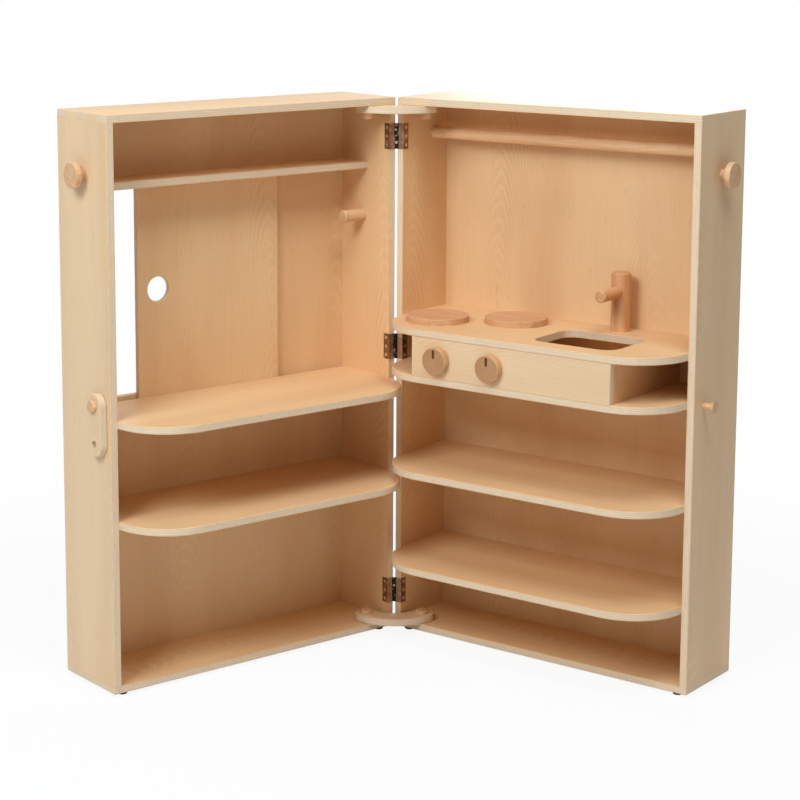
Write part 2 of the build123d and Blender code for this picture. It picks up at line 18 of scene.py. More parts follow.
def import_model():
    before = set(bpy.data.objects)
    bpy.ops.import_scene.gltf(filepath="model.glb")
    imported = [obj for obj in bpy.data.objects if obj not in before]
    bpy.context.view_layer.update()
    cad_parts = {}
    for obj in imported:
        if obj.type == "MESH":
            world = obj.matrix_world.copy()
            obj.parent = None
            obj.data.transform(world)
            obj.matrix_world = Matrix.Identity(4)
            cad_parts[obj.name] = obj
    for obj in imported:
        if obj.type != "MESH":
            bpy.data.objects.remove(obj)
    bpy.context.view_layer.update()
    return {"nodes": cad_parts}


LOG = logging.getLogger("play_kitchen")
SEED_SPREAD = (1.0, 1.7, 0.6)
BUMP_STRENGTH = 0.35
WHITE = (1.0, 1.0, 1.0, 1.0)

Colour = tuple[float, float, float]
Point = tuple[float, float, float]


def linear(red: int, green: int, blue: int) -> Colour:
    """Scene colour of a swatch.

    Args:
        red: Red of the swatch, from 0 to 255.
        green: Green of the swatch, from 0 to 255.
        blue: Blue of the swatch, from 0 to 255.

    Returns:
        The same colour in linear light.
    """
    def channel(value: int) -> float:
        """Linear light of one channel."""
        share = value / 255
        return share / 12.92 if share <= 0.04045 else ((share + 0.055) / 1.055) ** 2.4

    return channel(red), channel(green), channel(blue)


class Along(Enum):
    """Directions of a case: along its front, into its depth and up."""

    WIDTH = 0
    DEPTH = 1
    HEIGHT = 2


@dataclass(frozen=True)
class CaseAxes:
    """Where a case stands: how far it is turned about the hinge axis.

    Attributes:
        turn: Angle about the upright, in degrees.
        hinge: Place of the hinge axis on the floor, in metres.
    """

    turn: float
    hinge: tuple[float, float] = (-0.146803, 0.201656)

    def shift(self) -> Point:
        """Shift that follows the turn back to the case's own directions."""
        angle = radians(-self.turn)
        x, y = self.hinge
        return -(x * cos(angle) - y * sin(angle)), -(x * sin(angle) + y * cos(angle)), 0.0

    def to_case(self) -> Matrix:
        """Matrix from the room to the case's own directions."""
        return Matrix.Translation(Vector(self.shift())) @ Matrix.Rotation(radians(-self.turn), 4, "Z")

    def span(self, node: bpy.types.Object, along: Along) -> tuple[float, float]:
        """How far a solid reaches along one direction of the case.

        Args:
            node: The solid.
            along: Direction of the case.

        Returns:
            Lowest and highest place, in metres.
        """
        matrix = self.to_case()
        places = [(matrix @ vertex.co)[along.value] for vertex in node.data.vertices]
        return min(places), max(places)


RIGHT = CaseAxes(turn=0.0)
LEFT = CaseAxes(turn=75.0)
STAYS = CaseAxes(turn=-52.5)


@dataclass(frozen=True)
class Streak:
    """Noise drawn out along the fibres of a wood.

    Attributes:
        fibre: Scale along the fibres.
        cross: Scale across them.
        detail: Its detail.
        distortion: Its distortion.
        apart: Shift that sets it apart from the other streaks of the wood.
    """

    fibre: float
    cross: float
    detail: float = 1.0
    distortion: float = 0.0
    apart: float = 0.0


@dataclass(frozen=True)
class Mark:
    """Marks of another colour, where a value passes a soft step.

    Attributes:
        low: Value at which they start.
        high: Value at which they are full.
        strength: How far they cover the ground when full, from 0 to 1.
    """

    low: float
    high: float
    strength: float


class Bench:
    """A material on the bench: its nodes are added one by one and joined by name."""

    def __init__(self, name: str) -> None:
        """Start an empty material.

        Args:
            name: Name of the finish.
        """
        self.material = bpy.data.materials.new(name)
        self.material.use_nodes = True
        self.tree = self.material.node_tree
        self.tree.nodes.clear()

    def add(self, kind: str, inputs: dict | None = None, **settings: object) -> bpy.types.Node:
        """Add a node.

        Args:
            kind: Blender's name of the node type, without its ShaderNode prefix.
            inputs: Values or sockets for its inputs, by name or number.
            settings: Its other settings.

        Returns:
            The new node.
        """
        node = self.tree.nodes.new("ShaderNode" + kind)
        for key, value in settings.items():
            setattr(node, key, value)
        for key, value in (inputs or {}).items():
            if isinstance(value, bpy.types.NodeSocket):
                self.tree.links.new(value, node.inputs[key])
            else:
                node.inputs[key].default_value = value
        return node

    def math(self, operation: str, *values: object) -> bpy.types.NodeSocket:
        """Result of one sum on sockets or numbers.

        Args:
            operation: Blender's name of the operation.
            values: Its operands, in order.

        Returns:
            The socket with the result.
        """
        return self.add("Math", dict(enumerate(values)), operation=operation).outputs[0]

    def ramp(self, value: object, low: float, high: float) -> bpy.types.NodeSocket:
        """Soft step from 0 at one value to 1 at another.

        Args:
            value: Socket that is stepped.
            low: Value that gives 0.
            high: Value that gives 1.

        Returns:
            The socket with the result.
        """
        inputs = {"Value": value, "From Min": low, "From Max": high}
        return self.add("MapRange", inputs, interpolation_type="SMOOTHSTEP").outputs[0]

    def mix(self, share: object, first: object, second: object) -> bpy.types.NodeSocket:
        """Mix of two colours.

        Args:
            share: How much of the second colour, from 0 to 1.
            first: First colour or socket.
            second: Second colour or socket.

        Returns:
            The socket with the mixed colour.
        """
        node = self.add("Mix", data_type="RGBA")
        for index, value in ((0, share), (6, first), (7, second)):
            if isinstance(value, bpy.types.NodeSocket):
                self.tree.links.new(value, node.inputs[index])
            else:
                node.inputs[index].default_value = (*value, 1.0) if isinstance(value, tuple) else value
        return node.outputs[2]

    def mark(self, ground: object, value: object, mark: Mark, colour: Colour) -> bpy.types.NodeSocket:
        """Ground colour with marks on it.

        Args:
            ground: Ground colour, or a socket with it.
            value: Socket with the value that draws the marks.
            mark: Where they lie and how strong they are.
            colour: Their colour.

        Returns:
            The socket with the marked colour.
        """
        share = self.math("MULTIPLY", self.ramp(value, mark.low, mark.high), mark.strength)
        return self.mix(share, ground, colour)

    def noise(self, place: object, scale: float, detail: float = 2.0,
              distortion: float = 0.0) -> bpy.types.NodeSocket:
        """Value of a noise at a place.

        Args:
            place: Socket with the place.
            scale: Scale of the noise.
            detail: Its detail.
            distortion: Its distortion.

        Returns:
            The socket with the value.
        """
        inputs = {"Vector": place, "Scale": scale, "Detail": detail, "Distortion": distortion}
        return self.add("TexNoise", inputs).outputs[0]

    def place(self, axes: CaseAxes) -> bpy.types.NodeSocket:
        """Place of a point in a case's own directions.

        Args:
            axes: The case.

        Returns:
            The socket with the place, in metres.
        """
        room = self.add("TexCoord").outputs["Object"]
        inputs = {"Vector": room, "Location": axes.shift(), "Rotation": (0.0, 0.0, radians(-axes.turn))}
        return self.add("Mapping", inputs).outputs[0]

    def streaks(self, place: object, along: Along, streak: Streak, seed: float) -> bpy.types.NodeSocket:
        """Value of a noise that follows the fibres.

        Args:
            place: Socket with the place.
            along: Direction of the fibres.
            streak: How far the noise is drawn out.
            seed: Shift that sets one piece apart from the others.

        Returns:
            The socket with the value.
        """
        scale = [streak.cross, streak.cross, streak.cross]
        scale[along.value] = streak.fibre
        start = seed + streak.apart
        inputs = {"Vector": place, "Location": tuple(start * share for share in SEED_SPREAD), "Scale": scale}
        drawn = self.add("Mapping", inputs).outputs[0]
        return self.noise(drawn, 1.0, streak.detail, streak.distortion)

    def finish(self, colour: object, roughness: object, height: object, relief: float,
               **values: float) -> bpy.types.Material:
        """Close the material with its surface.

        Args:
            colour: Socket with the colour.
            roughness: Socket with the roughness.
            height: Socket with the height of the relief, from 0 to 1.
            relief: Depth of the relief, in metres.
            values: Even values of the surface, by input name with _ for a space.

        Returns:
            The finished material.
        """
        bump = self.add("Bump", {"Height": height, "Strength": BUMP_STRENGTH, "Distance": relief})
        inputs = {"Base Color": colour, "Roughness": roughness, "Normal": bump.outputs[0]}
        inputs |= {key.replace("_", " "): value for key, value in values.items()}
        surface = self.add("BsdfPrincipled", inputs)
        self.add("OutputMaterial", {"Surface": surface.outputs[0]})
        return self.material


class Tone(Enum):
    """One face veneer in two copies with painted light in them, each with a pale and a warm shade: CREAM, on
    the outer sides, board, latch and stays, is paler as a painted sheen of direct light; HONEY, on the rest,
    is warmer as partly painted warm light bounced inside the cases.
    """

    # Painted light: the paler copy stands for the sheen of direct light outside, the warmer one partly for
    # warm light bounced inside the cases.
    CREAM = (linear(234, 201, 158), linear(223, 186, 142))
    HONEY = (linear(236, 195, 144), linear(225, 179, 129))


@dataclass(frozen=True)
class Plywood:
    """Lacquered birch plywood: a face veneer on both sides of crossed plies.

    Attributes:
        name: Name of the finish.
        axes: Case that the plate belongs to.
        through: Direction of its thickness.
        fibres: Direction of the fibres of its faces.
        start: Where the thickness starts, in metres.
        seed: Number that sets the plate's figure apart.
        tone: Shades of the face veneer, with painted light in them: paler on the outside pieces, warmer
            inside.
        thickness: Thickness of the plate, in metres.
        plies: Number of plies.
        arch_half: Half the distance from one stack of arches to the next, in metres.
        arch_curve: How steeply the arches fall away to the side, per metre.
        arch_step: Distance from one ring to the next up the middle of an arch, in metres.
        arch_sway: How far the stacks of arches wander to the side, in metres.
        arch_wobble: How uneven the rings are, in metres.
        arch_shift: How far the stacks move to the side from one seed to the next, in metres.
        arch_fade: Shares of arch_half at which the arches are gone and full.
        drift: Slow change from the pale to the warm shade.
        presence: Where the rings show.
        sway: Wandering of the stacks of arches.
        wobble: Unevenness of the rings.
        fibre: Fine fibres.
        ray: Short dark fibres.
        waviness: Waviness of the plies.
        grit: Saw marks on the edges.
        drift_step: Values of the drift that give the pale and the warm shade.
        early_presence: Values of the presence between which the pale lines come up.
        late_presence: Values of the presence between which the dark lines come up.
        early_wood: Pale lines of the rings.
        late_wood: Dark lines of the rings.
        fibre_mark: Dark marks of the fine fibres.
        ray_mark: Dark marks of the short fibres.
        crossed_mark: Plies cut across their fibres.
        grit_mark: Dark marks of the saw.
        seam_mark: Glue lines.
        ply_wave: How far the plies wave, as a share of one.
        skin: Shares of an outer ply between which the face veneer ends.
        roughness: Roughness of the smooth veneer.
        fibre_roughness: What the fibres add to it.
        edge_roughness: What the bare plies add to it.
        edge_sink: Height of the bare plies over the veneer, as a share of the relief.
        relief: Depth of the fibres, in metres.
        gloss: Level of the lacquer's reflections.
        line: Colour of the pale lines of the rings.
        fleck: Colour of the dark fibres.
        ply_light: Colour of the plies cut along their fibres.
        ply_dark: Colour of the plies cut across their fibres.
        glue: Colour of the glue lines.
    """

    name: str
    axes: CaseAxes
    through: Along
    fibres: Along
    start: float
    seed: float
    tone: Tone = Tone.HONEY
    thickness: float = 0.012
    plies: int = 7
    arch_half: float = 0.072
    arch_curve: float = 85.0
    arch_step: float = 0.024
    arch_sway: float = 0.07
    arch_wobble: float = 0.075
    arch_shift: float = 0.01
    arch_fade: tuple[float, float] = (0.95, 0.45)
    drift: Streak = Streak(1.3, 8.0, 3.0, 0.4)
    presence: Streak = Streak(1.6, 6.0, apart=4.1)
    sway: Streak = Streak(3.0, 9.0, apart=11.3)
    wobble: Streak = Streak(5.0, 24.0, 1.5, apart=5.9)
    fibre: Streak = Streak(12.0, 420.0, 3.0)
    ray: Streak = Streak(60.0, 300.0, apart=7.7)
    waviness: Streak = Streak(5.0, 9.0)
    grit: Streak = Streak(160.0, 160.0, 2.0)
    drift_step: tuple[float, float] = (0.30, 0.72)
    early_presence: tuple[float, float] = (0.42, 0.66)
    late_presence: tuple[float, float] = (0.42, 0.70)
    early_wood: Mark = Mark(0.2, 1.0, 0.22)
    late_wood: Mark = Mark(-0.2, -1.0, 0.05)
    fibre_mark: Mark = Mark(0.50, 0.80, 0.11)
    ray_mark: Mark = Mark(0.68, 0.80, 0.18)
    crossed_mark: Mark = Mark(0.46, 0.54, 0.7)
    grit_mark: Mark = Mark(0.5, 0.8, 0.2)
    seam_mark: Mark = Mark(0.10, 0.02, 0.22)
    ply_wave: float = 0.16
    skin: tuple[float, float] = (0.72, 0.80)
    roughness: float = 0.40
    fibre_roughness: float = 0.16
    edge_roughness: float = 0.14
    edge_sink: float = -0.6
    relief: float = 0.0002
    gloss: float = 0.42
    line: Colour = linear(243, 218, 180)
    fleck: Colour = linear(176, 128, 84)
    ply_light: Colour = linear(231, 206, 173)
    ply_dark: Colour = linear(218, 191, 156)
    glue: Colour = linear(188, 154, 120)

    def material(self) -> bpy.types.Material:
        """The finish as a material."""
        bench = Bench(self.name)
        place = bench.place(self.axes)
        face, fibre = self.veneer(bench, place)
        edge, inside = self.edge(bench, place)
        colour = bench.mix(inside, face, edge)
        height = bench.math("MULTIPLY_ADD", inside, self.edge_sink, fibre)
        rough = bench.math("MULTIPLY_ADD", fibre, self.fibre_roughness, self.roughness)
        rough = bench.math("MULTIPLY_ADD", inside, self.edge_roughness, rough)
        return bench.finish(colour, rough, height, self.relief, Specular_IOR_Level=self.gloss)

    def veneer(self, bench: Bench, place: object) -> tuple[bpy.types.NodeSocket, bpy.types.NodeSocket]:
        """Colour of the face veneer and the height of its fibres.

        Args:
            bench: Material on the bench.
            place: Socket with the place in the case.

        Returns:
            Sockets with the colour and the height.
        """
        drift = bench.streaks(place, self.fibres, self.drift, self.seed)
        colour = bench.mix(bench.ramp(drift, *self.drift_step), *self.tone.value)
        rings, middle = self.arches(bench, place)
        presence = bench.streaks(place, self.fibres, self.presence, self.seed)
        early = bench.math("MULTIPLY", bench.ramp(rings, self.early_wood.low, self.early_wood.high),
                           bench.ramp(presence, *self.early_presence))
        early = bench.math("MULTIPLY", early, middle)
        colour = bench.mix(bench.math("MULTIPLY", early, self.early_wood.strength), colour, self.line)
        late = bench.math("MULTIPLY", bench.ramp(rings, self.late_wood.low, self.late_wood.high),
                          bench.ramp(presence, *self.late_presence))
        colour = bench.mix(bench.math("MULTIPLY", late, self.late_wood.strength), colour, self.fleck)
        fibre = bench.streaks(place, self.fibres, self.fibre, self.seed)
        colour = bench.mark(colour, fibre, self.fibre_mark, self.fleck)
        ray = bench.streaks(place, self.fibres, self.ray, self.seed)
        return bench.mark(colour, ray, self.ray_mark, self.fleck), fibre

    def arches(self, bench: Bench, place: object) -> tuple[bpy.types.NodeSocket, bpy.types.NodeSocket]:
        """Waves of the growth rings, which cross a peeled veneer in nested arches.

        Args:
            bench: Material on the bench.
            place: Socket with the place in the case.

        Returns:
            Sockets with the waves, from -1 to 1, and with 1 in the middle of a stack of arches.
        """
        across = next(along for along in Along if along not in (self.through, self.fibres))
        parts = bench.add("SeparateXYZ", {0: place}).outputs
        sway = bench.streaks(place, self.fibres, self.sway, self.seed)
        wobble = bench.streaks(place, self.fibres, self.wobble, self.seed)
        side = bench.math("MULTIPLY_ADD", sway, self.arch_sway, parts[across.value])
        side = bench.math("PINGPONG", bench.math("ADD", side, self.arch_shift * self.seed), self.arch_half)
        height = bench.math("MULTIPLY_ADD", wobble, self.arch_wobble, parts[self.fibres.value])
        rise = bench.math("MULTIPLY_ADD", bench.math("MULTIPLY", side, side), self.arch_curve, height)
        waves = bench.math("SINE", bench.math("MULTIPLY", rise, 2 * pi / self.arch_step))
        gone, full = self.arch_fade
        return waves, bench.ramp(side, gone * self.arch_half, full * self.arch_half)

    def edge(self, bench: Bench, place: object) -> tuple[bpy.types.NodeSocket, bpy.types.NodeSocket]:
        """Colour of the bare plies, and where they show.

        Args:
            bench: Material on the bench.
            place: Socket with the place in the case.

        Returns:
            Sockets with the colour and with 1 on the inner plies.
        """
        parts = bench.add("SeparateXYZ", {0: place}).outputs
        depth = bench.math("SUBTRACT", parts[self.through.value], self.start)
        wave = bench.streaks(place, self.fibres, self.waviness, self.seed)
        count = bench.math("DIVIDE", depth, self.thickness / self.plies)
        waved = bench.math("ADD", count, bench.math("MULTIPLY_ADD", wave, self.ply_wave, -self.ply_wave / 2))
        of_pair = bench.math("FRACT", bench.math("MULTIPLY", waved, 0.5))
        from_seam = bench.math("PINGPONG", waved, 0.5)
        grit = bench.streaks(place, self.fibres, self.grit, self.seed)
        colour = bench.mark(self.ply_light, of_pair, self.crossed_mark, self.ply_dark)
        colour = bench.mark(colour, grit, self.grit_mark, self.glue)
        colour = bench.mark(colour, from_seam, self.seam_mark, self.glue)
        starts, full = self.skin
        above = bench.ramp(waved, starts, full)
        below = bench.ramp(waved, self.plies - starts, self.plies - full)
        return colour, bench.math("MULTIPLY", above, below)


@dataclass(frozen=True)
class Pointer:
    """Dark pointer slot in a control knob, as seen from the hinge axis.

    Attributes:
        centre: Place of the knob's middle along the width and up, in metres.
        reach: Heights above the middle between which the slot runs, in metres.
        half_width: Half the width of the slot, in metres.
        surface: Depth below which the slot is coloured dark, in metres.
    """

    centre: tuple[float, float]
    reach: tuple[float, float] = (0.0038, 0.0182)
    half_width: float = 0.0027
    surface: float = -0.1036


class Timber(Enum):
    """Cuts of beech: the pale and the warm shade of each. The dowel's shades are painted lighter, standing
    for light on the hanging rod in the shade under the top.
    """

    # Painted light: paler shades that stand for light on the rod under the top.
    DOWEL = (linear(244, 200, 151), linear(230, 182, 132))
    TURNED = (linear(229, 185, 139), linear(217, 169, 122))
    POST = (linear(228, 173, 124), linear(211, 152, 102))
    DISC = (linear(222, 171, 125), linear(208, 154, 108))
    CONTROL = (linear(214, 165, 117), linear(200, 149, 102))


@dataclass(frozen=True)
class Beech:
    """Oiled solid beech with its short dark flecks, darker where the fibres end.

    Attributes:
        name: Name of the finish.
        axes: Case that the piece belongs to.
        fibres: Direction of the fibres.
        seed: Number that sets the piece apart.
        timber: Shades of the wood.
        pointer: Slot coloured dark, or nothing.
        dark_ends: How far the ends of the fibres are darkened, from 0 to 1; high values, as on the control
            knob faces, are partly painted shade.
        drift: Slow change from the pale to the warm shade.
        rings: Growth rings.
        ray: Short dark flecks.
        fibre: Fine fibres.
        drift_step: Values of the drift that give the pale and the warm shade.
        ring_count: How many bands the rings are drawn in, as an angle.
        ring_mark: Dark bands of the rings.
        ray_mark: Marks of the short dark flecks.
        end_step: How squarely a face cuts the fibres where its darkening starts and is full.
        roughness: Roughness of the smooth wood.
        fibre_roughness: What the fibres add to it.
        relief: Depth of the fibres, in metres.
        gloss: Level of the oil's reflections.
        fleck: Colour of the short dark flecks.
        end: Colour where the fibres end, which on the control knob faces is also painted shade.
        slot_dark: Colour inside the slot.
    """

    name: str
    axes: CaseAxes
    fibres: Along
    seed: float
    timber: Timber = Timber.TURNED
    pointer: Pointer | None = None
    dark_ends: float = 0.15
    drift: Streak = Streak(5.0, 60.0, 3.0, 0.5)
    rings: Streak = Streak(3.0, 45.0, 1.0, 0.3, apart=5.0)
    ray: Streak = Streak(130.0, 620.0, 2.0, apart=2.0)
    fibre: Streak = Streak(20.0, 700.0, 2.0)
    drift_step: tuple[float, float] = (0.30, 0.72)
    ring_count: float = 50.0
    ring_mark: Mark = Mark(0.2, 1.0, 0.12)
    ray_mark: Mark = Mark(0.60, 0.74, 0.32)
    end_step: tuple[float, float] = (0.80, 0.97)
    roughness: float = 0.42
    fibre_roughness: float = 0.2
    relief: float = 0.00012
    gloss: float = 0.40
    fleck: Colour = linear(146, 96, 60)
    end: Colour = linear(161, 115, 75)
    slot_dark: Colour = linear(120, 74, 42)

    def material(self) -> bpy.types.Material:
        """The finish as a material."""
        bench = Bench(self.name)
        place = bench.place(self.axes)
        drift = bench.streaks(place, self.fibres, self.drift, self.seed)
        colour = bench.mix(bench.ramp(drift, *self.drift_step), *self.timber.value)
        # Darker end grain; where the share is high, as on the control knob faces, it is partly painted
        # shade.
        colour = bench.mix(bench.math("MULTIPLY", self.end_grain(bench), self.dark_ends), colour, self.end)
        rings = bench.streaks(place, self.fibres, self.rings, self.seed)
        bands = bench.math("SINE", bench.math("MULTIPLY", rings, self.ring_count))
        colour = bench.mark(colour, bands, self.ring_mark, self.fleck)
        ray = bench.streaks(place, self.fibres, self.ray, self.seed)
        colour = bench.mark(colour, ray, self.ray_mark, self.fleck)
        if self.pointer is not None:
            colour = bench.mix(self.slot(bench, place, self.pointer), colour, self.slot_dark)
        fibre = bench.streaks(place, self.fibres, self.fibre, self.seed)
        rough = bench.math("MULTIPLY_ADD", fibre, self.fibre_roughness, self.roughness)
        return bench.finish(colour, rough, fibre, self.relief, Specular_IOR_Level=self.gloss)

    def end_grain(self, bench: Bench) -> bpy.types.NodeSocket:
        """Socket with 1 on the faces where the fibres end."""
        facing = bench.add("TexCoord").outputs["Normal"]
        turned = bench.add("Mapping", {"Vector": facing, "Rotation": (0.0, 0.0, radians(-self.axes.turn))})
        parts = bench.add("SeparateXYZ", {0: turned.outputs[0]})
        return bench.ramp(bench.math("ABSOLUTE", parts.outputs[self.fibres.value]), *self.end_step)

    @staticmethod
    def slot(bench: Bench, place: object, pointer: Pointer) -> bpy.types.NodeSocket:
        """Where the stained slot lies.

        Args:
            bench: Material on the bench.
            place: Socket with the place in the case.
            pointer: The slot.

        Returns:
            Socket with 1 inside the slot.
        """
        parts = bench.add("SeparateXYZ", {0: place}).outputs
        side = bench.math("ABSOLUTE", bench.math("SUBTRACT", parts[0], pointer.centre[0]))
        height = bench.math("SUBTRACT", parts[2], pointer.centre[1])
        inside = bench.math("LESS_THAN", side, pointer.half_width)
        inside = bench.math("MULTIPLY", inside, bench.math("GREATER_THAN", parts[1], pointer.surface))
        inside = bench.math("MULTIPLY", inside, bench.math("GREATER_THAN", height, pointer.reach[0]))
        return bench.math("MULTIPLY", inside, bench.math("LESS_THAN", height, pointer.reach[1]))


@dataclass(frozen=True)
class AgedBrass:
    """Brass darkened with age: bronze on the flanges; lighter on the arms that lie on the front edge of the
    case, rubbed wear with a painted highlight; near black round the knuckles, patina with painted shade in
    the gaps, and painted glints on the knuckles.

    Attributes:
        name: Name of the finish.
        axes: Case that the piece belongs to.
        flange: Colours of the metal beside the screws, dull and rubbed.
        lit_arm: Colours of the metal on the front edge, dull and rubbed, lighter than the flange as painted
            highlight on the arms that face the lamps.
        knuckle_dark_and_glint: Colours of the metal round the pin: near black, partly patina and partly
            painted shade, and near white, painted glints.
        arm_depth: Depth up to which a place lies on the front edge, in metres from the hinge axis.
        knuckle_reach: How far from the hinge axis the metal is dark, in metres; past the barrel, this dark
            is painted shade of the knuckle gaps.
        cloud_scale: Scale of the clouds of patina.
        fine_scale: Scale of the fine scratches.
        glint_scale: Scale of the painted glints on the knuckles.
        rubbed_step: Values between which flanges and arms turn bright.
        glint_step: Values between which the knuckles turn bright with painted glints.
        scratches: How far the scratches move the clouds.
        roughness: Roughness of the smooth metal.
        fine_roughness: What the scratches add to it.
        relief: Depth of the scratches, in metres.
        metal: How metallic the darkened surface is, from 0 to 1.
    """

    name: str
    axes: CaseAxes
    flange: tuple[Colour, Colour] = (linear(136, 102, 76), linear(178, 146, 114))
    lit_arm: tuple[Colour, Colour] = (linear(166, 134, 108), linear(200, 170, 142))
    knuckle_dark_and_glint: tuple[Colour, Colour] = (linear(50, 38, 30), linear(216, 204, 188))
    arm_depth: float = 0.00135
    knuckle_reach: float = 0.0042
    cloud_scale: float = 90.0
    fine_scale: float = 700.0
    glint_scale: float = 210.0
    rubbed_step: tuple[float, float] = (0.62, 0.90)
    glint_step: tuple[float, float] = (0.58, 0.68)
    scratches: float = 0.4
    roughness: float = 0.34
    fine_roughness: float = 0.2
    relief: float = 0.00005
    metal: float = 0.85

    def material(self) -> bpy.types.Material:
        """The finish as a material."""
        bench = Bench(self.name)
        place = bench.place(self.axes)
        cloud = bench.noise(place, self.cloud_scale, distortion=0.3)
        fine = bench.noise(place, self.fine_scale)
        rubbed = bench.ramp(bench.math("MULTIPLY_ADD", fine, self.scratches, cloud), *self.rubbed_step)
        flange = bench.mix(rubbed, *self.flange)
        lit_arm = bench.mix(rubbed, *self.lit_arm)
        # Painted glints on the knuckles.
        glints = bench.noise(place, self.glint_scale, 1.0)
        knuckle_dark_and_glint = bench.mix(bench.ramp(glints, *self.glint_step), *self.knuckle_dark_and_glint)
        parts = bench.add("SeparateXYZ", {0: place}).outputs
        level = bench.add("CombineXYZ", {0: parts[0], 1: parts[1]}).outputs[0]
        away = bench.add("VectorMath", {0: level}, operation="LENGTH").outputs["Value"]
        # Arms lighter than the flanges: painted highlight on the metal facing the lamps, on top of rubbed
        # wear.
        colour = bench.mix(bench.math("LESS_THAN", parts[1], self.arm_depth), flange, lit_arm)
        # Dark round the knuckles: patina, widened past the barrel as painted shade of the gaps.
        colour = bench.mix(bench.math("LESS_THAN", away, self.knuckle_reach), colour, knuckle_dark_and_glint)
        rough = bench.math("MULTIPLY_ADD", fine, self.fine_roughness, self.roughness)
        return bench.finish(colour, rough, fine, self.relief, Metallic=self.metal)


@dataclass(frozen=True)
class RubbedGlintBrass:
    """Screw heads: brass rubbed bright, its near-white colour partly a painted highlight, with clouds of
    duller patina.

    Attributes:
        name: Name of the finish.
        bright_glint: Colour of the rubbed metal, near white as a painted highlight.
        dull: Colour of what is left of the patina.
        cloud_scale: Scale of the clouds of patina.
        dull_step: Values between which the metal turns dull.
        roughness: Roughness of the bright metal.
        cloud_roughness: What the clouds add to it.
        relief: Depth of the clouds, in metres.
        metal: How metallic the surface is, from 0 to 1.
    """

    name: str
    bright_glint: Colour = linear(236, 218, 192)
    dull: Colour = linear(176, 148, 116)
    cloud_scale: float = 500.0
    dull_step: tuple[float, float] = (0.45, 0.75)
    roughness: float = 0.22
    cloud_roughness: float = 0.2
    relief: float = 0.00004
    metal: float = 0.9

    def material(self) -> bpy.types.Material:
        """The finish as a material."""
        bench = Bench(self.name)
        place = bench.add("TexCoord").outputs["Object"]
        cloud = bench.noise(place, self.cloud_scale, distortion=0.3)
        # Rubbed brass with a painted highlight, dulled by clouds of patina.
        colour = bench.mix(bench.ramp(cloud, *self.dull_step), self.bright_glint, self.dull)
        rough = bench.math("MULTIPLY_ADD", cloud, self.cloud_roughness, self.roughness)
        return bench.finish(colour, rough, cloud, self.relief, Metallic=self.metal)


@dataclass(frozen=True)
class DarkNylon:
    """Moulded dark nylon of the glides.

    Attributes:
        name: Name of the finish.
        colour: Its colour.
        scuffed: Colour of the scuffs.
        scuff_scale: Scale of the scuffs.
        scuff_step: Values between which they come up.
        roughness: Roughness of the smooth nylon.
        scuff_roughness: What the scuffs add to it.
        relief: Depth of the scuffs, in metres.
    """

    name: str
    colour: Colour = linear(38, 33, 30)
    scuffed: Colour = linear(74, 66, 60)
    scuff_scale: float = 420.0
    scuff_step: tuple[float, float] = (0.52, 0.75)
    roughness: float = 0.40
    scuff_roughness: float = 0.25
    relief: float = 0.0001

    def material(self) -> bpy.types.Material:
        """The finish as a material."""
        bench = Bench(self.name)
        place = bench.add("TexCoord").outputs["Object"]
        scuff = bench.noise(place, self.scuff_scale, 3.0, 0.3)
        colour = bench.mix(bench.ramp(scuff, *self.scuff_step), self.colour, self.scuffed)
        rough = bench.math("MULTIPLY_ADD", scuff, self.scuff_roughness, self.roughness)
        return bench.finish(colour, rough, scuff, self.relief)


class Workshop:
    """Where every solid of the kitchen gets its finish.

    Attributes:
        PLATE_SEEDS: Seed of the first plate, and the step from one piece to the next.
        BEECH_SEEDS: Seed of the first piece of beech, and the step from one piece to the next.
    """

    PLATE_SEEDS = (3.0, 2.37)
    BEECH_SEEDS = (1.0, 1.9)

    def __init__(self, nodes: dict[str, bpy.types.Object]) -> None:
        """Lay out the solids.

        Args:
            nodes: All solids by name.
        """
        self.nodes = nodes
        self.count = 0

    def dress(self, name: str, material: bpy.types.Material) -> None:
        """Give a solid its finish.

        Args:
            name: Name of the solid.
            material: Its finish.
        """
        node = self.nodes[name]
        node.data.materials.clear()
        node.data.materials.append(material)
        self.count += 1
        LOG.info("%s: %s", name, material.name)

    def plywood(self, name: str, axes: CaseAxes, through: Along, fibres: Along,
                tone: Tone = Tone.HONEY) -> None:
        """Finish a plate as plywood, its plies counted from its own lower face.

        Args:
            name: Name of the solid.
            axes: Case that it belongs to.
            through: Direction of its thickness.
            fibres: Direction of the fibres of its faces.
            tone: Shades of its face veneer, with painted light in them: paler on the outside pieces, warmer
                inside.
        """
        low, high = axes.span(self.nodes[name], through)
        first, step = self.PLATE_SEEDS
        seed = first + step * self.count
        finish = Plywood(f"ply_{name}", axes, through, fibres, low, seed, tone, high - low)
        self.dress(name, finish.material())

    def beech(self, name: str, axes: CaseAxes, fibres: Along, timber: Timber = Timber.TURNED,
              **details: object) -> None:
        """Finish a piece as solid beech.

        Args:
            name: Name of the solid.
            axes: Case that it belongs to.
            fibres: Direction of its fibres.
            timber: Shades of the wood.
            details: Other values of the finish, by name.
        """
        first, step = self.BEECH_SEEDS
        seed = first + step * self.count
        self.dress(name, Beech(f"beech_{name}", axes, fibres, seed, timber, **details).material())


@dataclass(frozen=True)
class SubAssembly:
    """Pieces that belong together in one case.

    Attributes:
        axes: Case that they belong to.
    """

    axes: CaseAxes

    def dress(self, shop: Workshop) -> None:
        """Finish every piece.

        Args:
            shop: Workshop with the solids.
        """
        raise NotImplementedError


